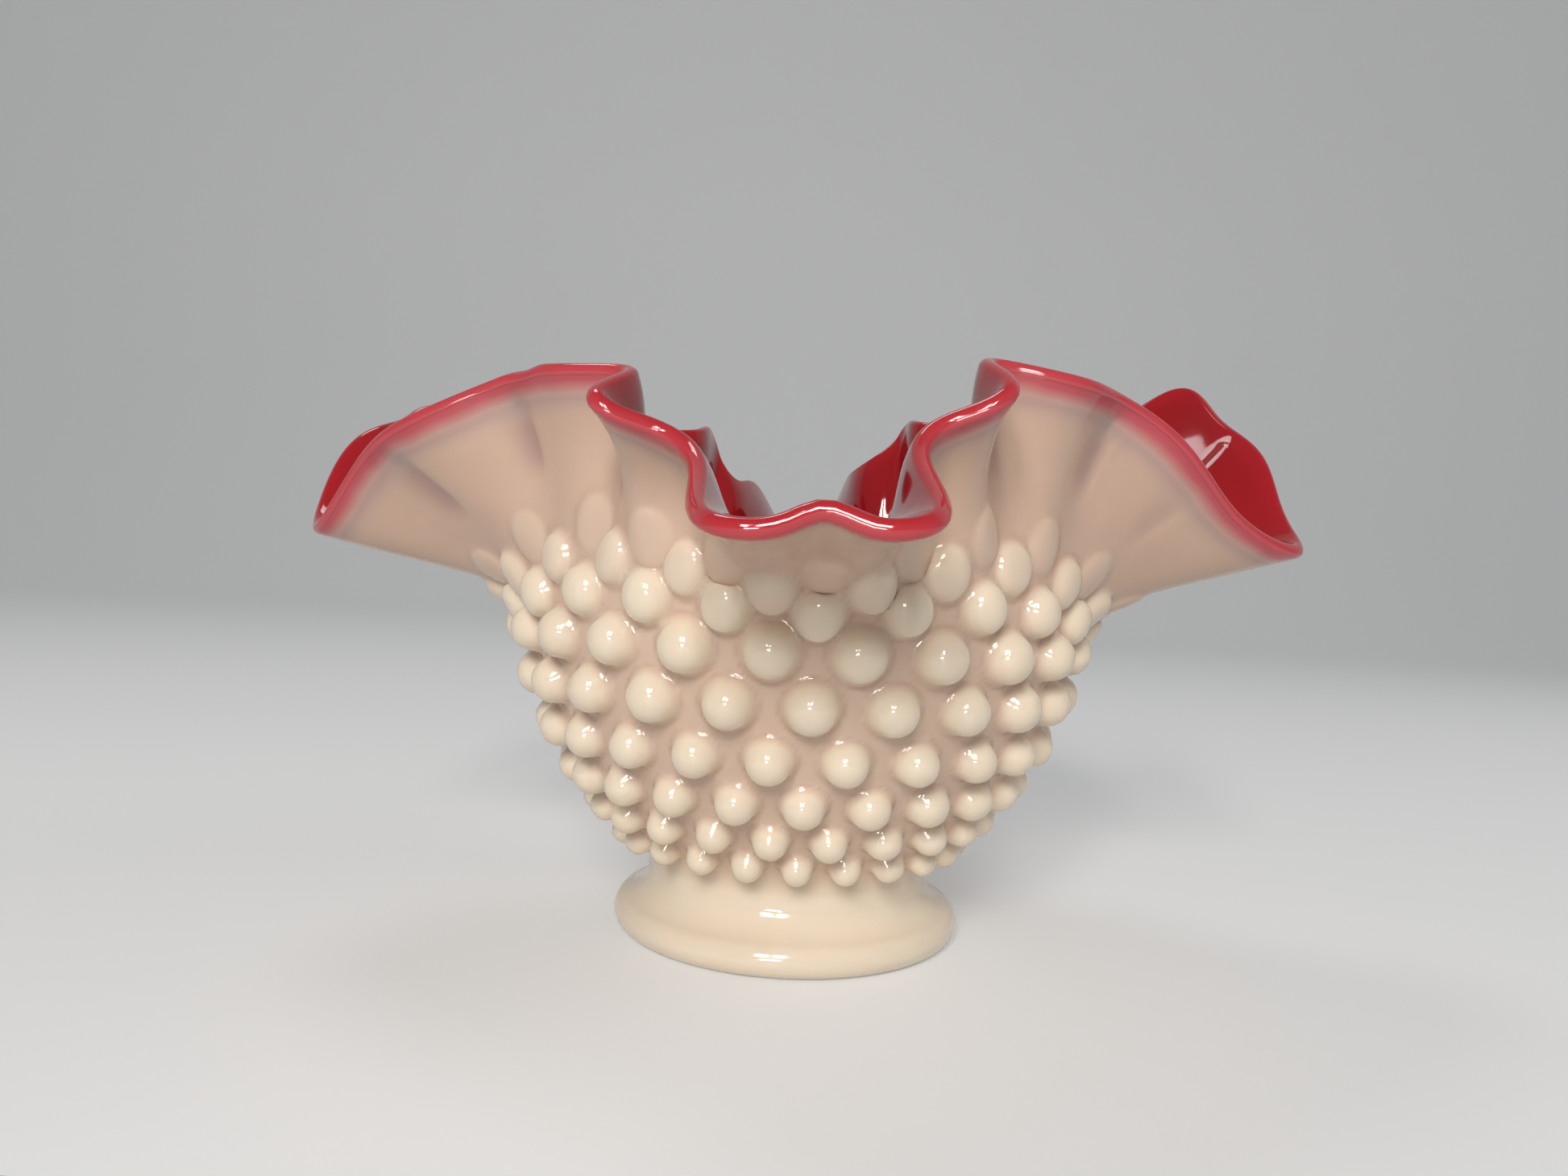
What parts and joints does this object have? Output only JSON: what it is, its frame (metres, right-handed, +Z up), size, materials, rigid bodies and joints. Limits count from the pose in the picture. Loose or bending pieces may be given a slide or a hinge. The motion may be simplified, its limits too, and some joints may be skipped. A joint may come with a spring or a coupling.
{
  "type": "glass vase",
  "caption": "Squat footed vase in cased glass: white hobnail bowl under a wide, deeply ruffled rim, lined and edged in ruby.",
  "frame": {"origin": "centre of the foot's ground ring, on the table", "axes": "+Z up the vase's axis, -Y towards the front dip of the rim, +X to that side's right"},
  "size_m": [0.1618, 0.1576, 0.0975],
  "materials": {
    "milk_glass": "glossy opal white, cast in the mould",
    "ruby_glass": "glossy deep ruby, fire polished"
  },
  "bodies": {
    "root": {"milk_glass_body": "milk_glass", "ruby_lining": "ruby_glass"}
  },
  "joints": []
}
